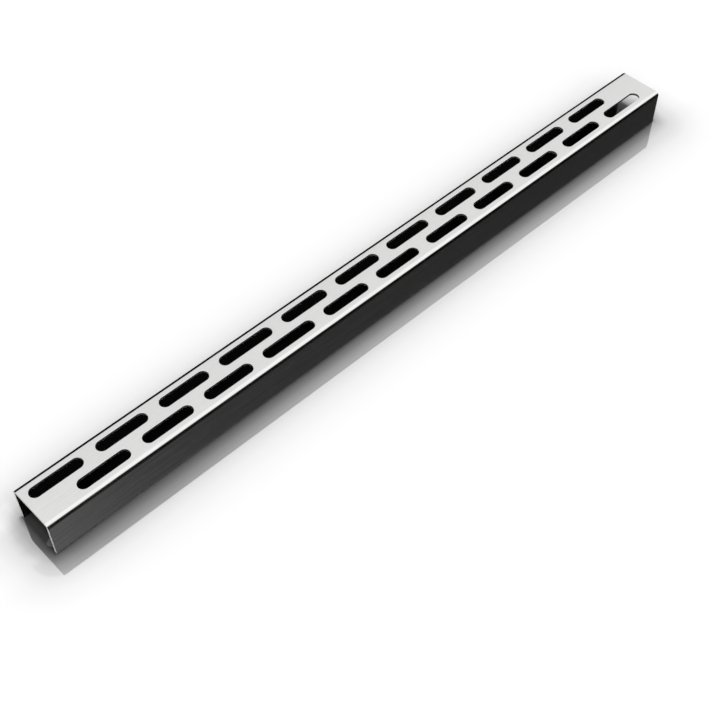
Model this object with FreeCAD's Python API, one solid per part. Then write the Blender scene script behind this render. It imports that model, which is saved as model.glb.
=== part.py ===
import FreeCAD, Part
import os
from math import cos, sin, radians

# Slotted drain grate: one stainless sheet folded into an upside-down U, with
# two staggered rows of obround slots punched through its top. Millimetres.
# Frame: X along the grate, Y across it, Z up. The origin is the middle of the
# rectangle that the two leg edges stand on.

# --- driving dimensions -------------------------------------------------
length = 600.0          # cut length of the strip
width = 38.0            # over the outer faces of the two legs
height = 30.0           # leg edges to the top face
sheet = 2.0             # sheet thickness
bend_outer = 3.2        # outside radius of the two folds
bend_inner = bend_outer - sheet

slot_pitch = 51.0       # slot to slot along a row
slot_length = 40.2      # end to end, over the round ends
slot_width = 9.0
slots_per_row = 11
long_slot = 4           # the fourth slot of each row is punched longer
long_slot_extra = 4.9   # by this much; the webs between slots stay equal
row_offset = 7.75       # each row's centre line, from the middle of the top
first_centre = 25.0     # -X end to the centre of the far row's first slot
stagger = slot_pitch / 2.0
rim_round = 0.15        # roll-over left by the punch on the top rim of a slot

V = FreeCAD.Vector
os.makedirs("parts", exist_ok=True)


def arc(cy, cz, r, a0, a1, x):
    """Arc in the section plane at x, from angle a0 to a1 in degrees."""
    pts = [V(x, cy + r * cos(radians(a)), cz + r * sin(radians(a)))
           for a in (a0, (a0 + a1) / 2.0, a1)]
    return Part.Arc(*pts).toShape()


def line(y0, z0, y1, z1, x):
    return Part.makeLine(V(x, y0, z0), V(x, y1, z1))


# --- folded section, drawn at the -X end and pulled along X -------------
x0 = -length / 2.0
yo = width / 2.0                 # outer face of a leg
yi = yo - sheet                  # inner face of a leg
zt = height                      # top face
zu = height - sheet              # underside of the top
yb = yo - bend_outer             # both radii of a fold share this centre
zb = height - bend_outer

section = Part.Wire([
    line(-yo, 0, -yo, zb, x0),
    arc(-yb, zb, bend_outer, 180, 90, x0),
    line(-yb, zt, yb, zt, x0),
    arc(yb, zb, bend_outer, 90, 0, x0),
    line(yo, zb, yo, 0, x0),
    line(yo, 0, yi, 0, x0),
    line(yi, 0, yi, zb, x0),
    arc(yb, zb, bend_inner, 0, 90, x0),
    line(yb, zu, -yb, zu, x0),
    arc(-yb, zb, bend_inner, 90, 180, x0),
    line(-yi, zb, -yi, 0, x0),
    line(-yi, 0, -yo, 0, x0),
])
grate = Part.Face(section).extrude(V(length, 0, 0))


# --- slots --------------------------------------------------------------
def obround(xc, yc, total, wide):
    """Upright obround cutter through the top of the fold."""
    r = wide / 2.0
    h = total / 2.0 - r
    z = zu - 1.0
    w = Part.Wire([
        Part.makeLine(V(xc - h, yc - r, z), V(xc + h, yc - r, z)),
        Part.Arc(V(xc + h, yc - r, z), V(xc + h + r, yc, z),
                 V(xc + h, yc + r, z)).toShape(),
        Part.makeLine(V(xc + h, yc + r, z), V(xc - h, yc + r, z)),
        Part.Arc(V(xc - h, yc + r, z), V(xc - h - r, yc, z),
                 V(xc - h, yc - r, z)).toShape(),
    ])
    return Part.Face(w).extrude(V(0, 0, sheet + 2.0))


def row(start, yc):
    """Slots of one row as (centre x, centre y, length)."""
    out = []
    edge = x0 + start - slot_length / 2.0        # -X tip of the next slot
    web = slot_pitch - slot_length
    for i in range(1, slots_per_row + 1):
        total = slot_length + (long_slot_extra if i == long_slot else 0.0)
        out.append((edge + total / 2.0, yc, total))
        edge += total + web
    return out


slots = row(first_centre, row_offset) + row(first_centre + stagger, -row_offset)
grate = grate.cut(Part.makeCompound([obround(x, y, l, slot_width)
                                     for x, y, l in slots]))
if grate.ShapeType == "Compound":
    grate = grate.Solids[0]

# round the top rim of every slot
rims = []
for e in grate.Edges:
    b = e.BoundBox
    if abs(b.ZMin - zt) < 1e-6 and abs(b.ZMax - zt) < 1e-6 \
            and abs(b.YMin) < yb - 0.5 and abs(b.YMax) < yb - 0.5 \
            and b.XMin > x0 + 0.5 and b.XMax < -x0 - 0.5:
        rims.append(e)
grate = grate.makeFillet(rim_round, rims)
if grate.ShapeType == "Compound":
    grate = grate.Solids[0]

print("slots", len(slots), "rim edges", len(rims))
print("valid", grate.isValid(), "solids", len(grate.Solids),
      "volume mm3", round(grate.Volume, 1))
b = grate.BoundBox
print("box", b.XMin, b.XMax, b.YMin, b.YMax, b.ZMin, b.ZMax)
print("last slot ends at", round(max(x + l / 2.0 for x, y, l in slots), 2))

grate.exportStep("parts/grate.step")
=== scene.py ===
import bpy, math
from mathutils import Vector, Matrix

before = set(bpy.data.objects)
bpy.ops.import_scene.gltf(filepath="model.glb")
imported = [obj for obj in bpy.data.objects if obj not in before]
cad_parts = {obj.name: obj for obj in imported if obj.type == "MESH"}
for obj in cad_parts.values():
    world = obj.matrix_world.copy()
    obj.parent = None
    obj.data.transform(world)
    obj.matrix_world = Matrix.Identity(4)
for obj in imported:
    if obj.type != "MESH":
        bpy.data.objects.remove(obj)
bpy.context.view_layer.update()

scene = bpy.context.scene

# the grate's own measures, in metres
HALF_L, HALF_W, HIGH, SHEET, BEND = 0.300, 0.019, 0.030, 0.002, 0.0032
STEEL = 0.70


# ------------------------------------------------------------------ helpers
def new_mat(name):
    m = bpy.data.materials.new(name)
    m.use_nodes = True
    nt = m.node_tree
    nt.nodes.clear()
    return m, nt


class N:
    """Small helper to wire nodes."""
    def __init__(self, nt):
        self.nt = nt

    def __call__(self, kind, **kw):
        n = self.nt.nodes.new(kind)
        ins = kw.pop("ins", {})
        for k, v in kw.items():
            setattr(n, k, v)
        for k, v in ins.items():
            if isinstance(v, bpy.types.NodeSocket):
                self.nt.links.new(v, n.inputs[k])
            else:
                n.inputs[k].default_value = v
        return n

    def link(self, a, b):
        self.nt.links.new(a, b)

    # each of the following returns an output socket
    def math(self, op, a, b=None):
        ins = {0: a}
        if b is not None:
            ins[1] = b
        return self("ShaderNodeMath", operation=op, ins=ins).outputs[0]

    def span(self, v, lo, hi, to0=0.0, to1=1.0, kind="SMOOTHSTEP"):
        return self("ShaderNodeMapRange", interpolation_type=kind,
                    ins={0: v, 1: lo, 2: hi, 3: to0, 4: to1}).outputs[0]

    def mixf(self, fac, a, b):
        return self("ShaderNodeMix", data_type="FLOAT", ins={0: fac, 2: a, 3: b}).outputs[0]

    def shader(self, fac, a, b):
        return self("ShaderNodeMixShader", ins={0: fac, 1: a, 2: b}).outputs[0]

    def noise(self, vec, scale, detail=2.0, rough=0.5, seed=0.0):
        mp = self("ShaderNodeMapping", ins={0: vec, 1: (seed, seed * 0.7, seed * 1.3), 3: scale})
        return self("ShaderNodeTexNoise", ins={"Vector": mp.outputs[0], "Scale": 1.0,
                                               "Detail": detail, "Roughness": rough}).outputs[0]

    def ramp(self, fac, stops):
        node = self("ShaderNodeValToRGB", ins={0: fac})
        el = node.color_ramp.elements
        while len(el) > 1:
            el.remove(el[-1])
        el[0].position, el[0].color = stops[0][0], (stops[0][1],) * 3 + (1,)
        for p, v in stops[1:]:
            el.new(p).color = (v, v, v, 1)
        return node.outputs[0]

    def swing(self, sock, amount):
        """A 0..1 noise as a swing of +-amount/2 about zero."""
        return self.math("MULTIPLY", self.math("SUBTRACT", sock, 0.5), amount)


# ------------------------------------------------------------------ material
def stainless():
    """Satin stainless sheet: long brushed grain that follows the profile,
    faint clouding, smooth drawn bends, and plain sheared ends and feet that
    are duller and paler than the faces."""
    m, nt = new_mat("satin_stainless")
    n = N(nt)
    out = n("ShaderNodeOutputMaterial")
    bsdf = n("ShaderNodeBsdfPrincipled")
    tc = n("ShaderNodeTexCoord")
    obj = tc.outputs["Object"]
    p = n("ShaderNodeSeparateXYZ", ins={0: obj})
    nn = n("ShaderNodeSeparateXYZ", ins={0: tc.outputs["Normal"]})
    ax = n.math("ABSOLUTE", p.outputs["X"])
    ay = n.math("ABSOLUTE", p.outputs["Y"])
    z = p.outputs["Z"]
    anx = n.math("ABSOLUTE", nn.outputs["X"])
    anz = n.math("ABSOLUTE", nn.outputs["Z"])

    # masks
    end = n.math("MULTIPLY", n.span(anx, 0.6, 0.8), n.math("GREATER_THAN", ax, HALF_L - 0.0006))
    punched = n.math("MULTIPLY", n.math("MULTIPLY", n.span(anz, 0.75, 0.45),
                                        n.math("GREATER_THAN", z, HIGH - SHEET - 0.0001)),
                     n.math("LESS_THAN", ay, HALF_W - BEND - 0.0002))
    foot = n.math("MULTIPLY", n.span(anz, 0.6, 0.8), n.math("LESS_THAN", z, 0.0005))
    sheared = n.math("MAXIMUM", end, foot)
    cut = n.math("MAXIMUM", sheared, punched)
    bend = n.math("MULTIPLY", n.span(ay, HALF_W - BEND - 0.0006, HALF_W - BEND + 0.0009),
                  n.span(z, HIGH - BEND - 0.0010, HIGH - BEND + 0.0006))

    # grain
    long_ = n.noise(obj, (22.0, 900.0, 900.0), 3.0, 0.55, 1.0)
    fine = n.noise(obj, (90.0, 4200.0, 4200.0), 2.0, 0.6, 5.0)
    hair = n.noise(obj, (9.0, 2300.0, 2300.0), 1.0, 0.5, 9.0)
    cloud = n.noise(obj, (60.0, 110.0, 110.0), 3.0, 0.55, 3.0)
    speck = n.noise(obj, (900.0, 1400.0, 1400.0), 2.0, 0.6, 7.0)

    # the legs show the grain more than the top does
    leg = n.span(anz, 0.75, 0.25)

    # colour
    tone = n.math("ADD", n.math("MULTIPLY", n.swing(long_, 1.0), n.mixf(leg, 0.07, 0.34)), n.swing(fine, 0.07))
    tone = n.math("ADD", tone, n.swing(cloud, 0.05))
    tone = n.math("ADD", tone, n.swing(speck, 0.03))
    tone = n.math("ADD", tone, n.math("MULTIPLY", bend, 0.02))
    face = n.math("ADD", tone, STEEL)
    edge = n.math("ADD", n.swing(speck, 0.14), 0.90)
    val = n.mixf(sheared, face, edge)
    val = n.mixf(punched, val, n.math("MULTIPLY", val, 0.8))
    col = n("ShaderNodeCombineColor", ins={0: val, 1: val, 2: n.math("MULTIPLY", val, 0.992)})
    n.link(col.outputs[0], bsdf.inputs["Base Color"])

    # the torn ends scatter light like a pale rough solid
    n.link(n.mixf(sheared, 1.0, 0.12), bsdf.inputs["Metallic"])

    # roughness
    r = n.math("ADD", n.swing(long_, 0.10), 0.165)
    r = n.math("ADD", r, n.swing(fine, 0.06))
    r = n.math("ADD", r, n.swing(cloud, 0.05))
    r = n.math("SUBTRACT", r, n.math("MULTIPLY", bend, 0.03))
    r = n.mixf(cut, r, n.math("ADD", n.math("MULTIPLY", speck, 0.2), 0.35))
    n.link(r, bsdf.inputs["Roughness"])

    # bump
    h = n.math("ADD", long_, n.math("MULTIPLY", hair, 0.7))
    h = n.math("ADD", h, n.math("MULTIPLY", fine, 0.25))
    h = n.math("MULTIPLY", h, n.math("SUBTRACT", 1.0, n.math("MULTIPLY", bend, 0.8)))
    h = n.math("MULTIPLY", h, n.mixf(leg, 0.22, 1.0))
    h = n.mixf(cut, h, n.math("MULTIPLY", speck, 0.6))
    bump = n("ShaderNodeBump", ins={"Strength": 1.0, "Distance": 0.00008, "Height": h})
    n.link(bump.outputs[0], bsdf.inputs["Normal"])
    n.link(bsdf.outputs[0], out.inputs[0])
    return m


steel = stainless()
for name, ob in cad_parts.items():
    o = ob if isinstance(ob, bpy.types.Object) else bpy.data.objects[name]
    o.data.materials.clear()
    o.data.materials.append(steel)
    print("NODE", name, len(o.data.polygons), len(o.data.vertices), o.data.has_custom_normals, tuple(o.scale))


# ------------------------------------------------------------------ floor
def floor():
    """Glossy white floor with painted shade. Its colour is darkened by distance from the grate,
    sinking towards black under the grate and close beside it; far off it glows a little, which
    is painted light. Seen in the steel it is left out, apart from the strip under the grate, which
    shows as a near-black painted shade, so that the studio below decides what the walls mirror."""
    me = bpy.data.meshes.new("floor")
    s = 8.0
    me.from_pydata([(-s, -s, 0), (s, -s, 0), (s, s, 0), (-s, s, 0)], [], [(0, 1, 2, 3)])
    o = bpy.data.objects.new("floor", me)
    bpy.context.collection.objects.link(o)
    m, nt = new_mat("floor_gloss_white_painted_shade")
    n = N(nt)
    out = n("ShaderNodeOutputMaterial")
    tc = n("ShaderNodeTexCoord")
    xyz = n("ShaderNodeSeparateXYZ", ins={0: tc.outputs["Object"]})
    dx = n.math("SUBTRACT", n.math("ABSOLUTE", xyz.outputs["X"]), HALF_L)
    dy = n.math("SUBTRACT", n.math("ABSOLUTE", xyz.outputs["Y"]), HALF_W)
    iny = n.math("LESS_THAN", dy, 0.0)
    ov = n("ShaderNodeCombineXYZ", ins={0: n.math("MAXIMUM", dx, 0.0), 1: n.math("MAXIMUM", dy, 0.0)})
    dist = n("ShaderNodeVectorMath", operation="LENGTH", ins={0: ov.outputs[0]}).outputs["Value"]
    # painted shade: the floor colour darkens by distance beside the grate (distance in steps of 80 mm), with deep
    # painted shade inside
    painted_floor_shade = n.ramp(n.math("DIVIDE", dist, 0.08), [
        (0.0, 0.14), (0.0081, 0.172), (0.0169, 0.222), (0.026, 0.288), (0.036, 0.324),
        (0.047, 0.356), (0.059, 0.376), (0.0725, 0.40), (0.09, 0.436), (0.11, 0.484),
        (0.131, 0.527), (0.153, 0.552), (0.175, 0.60), (0.20, 0.615), (0.226, 0.635),
        (0.264, 0.675), (0.3125, 0.72), (0.356, 0.757), (0.394, 0.772), (0.431, 0.79),
        (0.48, 0.81), (0.544, 0.83), (0.606, 0.84), (0.67, 0.85), (0.90, 0.87)])
    # painted shade: under the grate the floor colour sinks to 3%
    inside_painted_shade = n.math("MULTIPLY", n.span(dx, 0.003, -0.012), iny)
    painted_floor_shade = n.math("MULTIPLY", painted_floor_shade, n.span(inside_painted_shade, 0.0, 1.0, 1.0, 0.03, "LINEAR"))
    # painted shade: the floor colour in front of the open ends is darkened, less so towards the legs
    ay = n.math("ABSOLUTE", xyz.outputs["Y"])
    reach = n.math("ADD", dx, n.math("MULTIPLY", n.math("MAXIMUM", n.math("SUBTRACT", ay, 0.006), 0.0), 0.45))
    mouth_painted_shade = n.math("ADD", n.span(reach, 0.004, 0.020, 0.40, 1.04), n.span(dx, 0.002, -0.003, 0.0, 0.25))
    mouth_painted_shade = n.mixf(n.span(dy, -0.006, 0.012), mouth_painted_shade, 1.0)
    painted_floor_shade = n.math("MULTIPLY", painted_floor_shade, mouth_painted_shade)
    # painted shade: beside the front leg the floor colour is a little darker towards the left
    beside = n.math("MULTIPLY", n.span(dist, 0.0185, 0.015), n.span(xyz.outputs["Y"], -0.012, -0.020))
    along = n.math("ADD", n.span(xyz.outputs["X"], -0.25, 0.0, 0.79, 1.0),
                   n.span(xyz.outputs["X"], -0.262, -0.300, 0.0, 0.03))
    painted_floor_shade = n.math("MULTIPLY", painted_floor_shade, n.mixf(beside, 1.0, along))
    # painted light: off the back left corner the floor colour is lifted
    corner_painted_light = n.math("MULTIPLY", n.span(xyz.outputs["Y"], 0.012, 0.024), n.span(xyz.outputs["X"], -0.298, -0.304))
    corner_painted_light = n.math("MULTIPLY", corner_painted_light, n.span(xyz.outputs["Y"], 0.024, 0.042, 0.28, 0.04))
    painted_floor_shade = n.math("MINIMUM", n.math("MULTIPLY", painted_floor_shade, n.math("ADD", corner_painted_light, 1.0)), 0.95)
    # painted shade on the floor's mirror: its reflection is dimmed to 12% under the grate
    mirror_painted_shade = n.mixf(iny, 1.0, n.span(dx, 0.006, -0.001, 1.0, 0.12))
    dif = n("ShaderNodeBsdfDiffuse", ins={"Color": painted_floor_shade}).outputs[0]
    glo = n("ShaderNodeBsdfGlossy", ins={"Color": mirror_painted_shade, "Roughness": 0.0}).outputs[0]
    # painted light: the floor glows more with distance from the grate
    far_painted_glow = n.span(dist, 0.05, 0.14, 0.0, 0.4)
    em = n("ShaderNodeEmission", ins={"Color": (1, 1, 1, 1), "Strength": far_painted_glow}).outputs[0]
    seen = n("ShaderNodeAddShader", ins={0: n.shader(0.3, dif, glo), 1: em}).outputs[0]
    # in the steel: the floor is see-through, except under the grate, where a near-black glow is painted shade
    under = n.math("MULTIPLY", n.math("LESS_THAN", dx, 0.0), iny)
    clear = n("ShaderNodeBsdfTransparent").outputs[0]
    under_painted_shade = n("ShaderNodeEmission", ins={"Color": (1, 1, 1, 1), "Strength": 0.0025}).outputs[0]
    lp = n("ShaderNodeLightPath")
    n.link(n.shader(lp.outputs["Is Glossy Ray"], seen, n.shader(under, clear, under_painted_shade)), out.inputs[0])
    me.materials.append(m)
    return o


# ------------------------------------------------------------------ light
def turn(deg):
    return (deg + 180.0) / 360.0


def studio():
    """A soft light tent: one wide soft box overhead, a second to the left,
    dark card round the horizon, and a dim grey below."""
    world = bpy.data.worlds.new("studio")
    scene.world = world
    world.use_nodes = True
    world.cycles.sampling_method = "NONE"
    nt = world.node_tree
    nt.nodes.clear()
    n = N(nt)
    out = n("ShaderNodeOutputWorld")
    tc = n("ShaderNodeTexCoord")
    xyz = n("ShaderNodeSeparateXYZ", ins={0: tc.outputs["Generated"]})
    X, Y, Z = (xyz.outputs[k] for k in "XYZ")
    u = n.span(n.math("ARCTAN2", Z, Y), -math.pi, math.pi, 0.0, 1.0, "LINEAR")
    # round the grate's long axis
    stops = [(0, 0.003), (45, 0.003), (52.5, 1.06), (60, 1.08), (70, 1.25), (129, 1.25),
             (138, 1.0), (149, 0.008), (179.9, 0.003)]
    sky = n.math("MULTIPLY", n.ramp(u, [(0.0, 0.0), (0.4999, 0.0)] + [(turn(d), v / 2.0) for d, v in stops]), 2.0)
    # the second soft box, which only the floor and the sheared ends see
    left = n.math("MAXIMUM", n.span(X, 0.13, 0.03), n.span(X, 0.72, 0.82))
    sky = n.mixf(left, sky, n.span(Z, 0.0, 0.25, 0.0, 1.4))
    # below the floor line: a dim grey, lighter towards the left, that fades
    # out where the wall turns into the bend
    low = n.ramp(n.span(X, 0.1, 0.6, 0.0, 1.0, "LINEAR"), [
        (0.0, 0.155), (0.10, 0.145), (0.172, 0.132), (0.192, 0.125), (0.28, 0.076), (0.40, 0.056),
        (0.63, 0.0415), (0.88, 0.034), (1.0, 0.031)])
    wall = n.ramp(u, [(turn(-158), 0.0), (turn(-142), 0.25), (turn(-128), 0.88), (turn(-121), 1.0),
                      (turn(-60), 1.0), (turn(-10), 0.1)])
    wall = n.mixf(n.math("MAXIMUM", n.span(X, 0.10, 0.0), n.span(X, 0.72, 0.82)), wall, 1.0)
    low = n.math("MULTIPLY", n.math("MULTIPLY", low, wall), n.math("LESS_THAN", Z, 0.0))
    tot = n.math("ADD", sky, low)
    lp = n("ShaderNodeLightPath")
    # in the floor's own sharp mirror the tent is even
    tot = n.mixf(lp.outputs["Is Singular Ray"], tot, 1.07)
    deep = n.math("GREATER_THAN", lp.outputs["Ray Depth"], 2.5)
    tot = n.math("MULTIPLY", tot, n.span(deep, 0.0, 1.0, 1.0, 0.05, "LINEAR"))
    bg1 = n("ShaderNodeBackground", ins={"Color": (1, 1, 1, 1), "Strength": tot}).outputs[0]
    bg2 = n("ShaderNodeBackground", ins={"Color": (1, 1, 1, 1), "Strength": 1.0}).outputs[0]
    n.link(n.shader(lp.outputs["Is Camera Ray"], bg1, bg2), out.inputs[0])


floor()
studio()

# ------------------------------------------------------------------ camera
AZ, EL, DIST = math.radians(-43.728), math.radians(50.609), 0.86632
TARGET = Vector((-0.06201, -0.04687, 0.012))
F_PX = 1253.16
back = Vector((math.sin(AZ) * math.cos(EL), -math.cos(AZ) * math.cos(EL), math.sin(EL)))
cam_d = bpy.data.cameras.new("camera")
cam = bpy.data.objects.new("camera", cam_d)
bpy.context.collection.objects.link(cam)
cam.location = TARGET + back * DIST
right = Vector((0, 0, 1)).cross(back).normalized()
up = back.cross(right)
rot = Matrix((right, up, back)).transposed()
cam.rotation_euler = rot.to_euler()
cam_d.sensor_fit = "HORIZONTAL"
cam_d.sensor_width = 36.0
cam_d.lens = 36.0 * F_PX / 725.0
cam_d.clip_start = 0.01
cam_d.clip_end = 100.0
cam_d.dof.use_dof = False
scene.camera = cam
scene.view_settings.view_transform = "Standard"
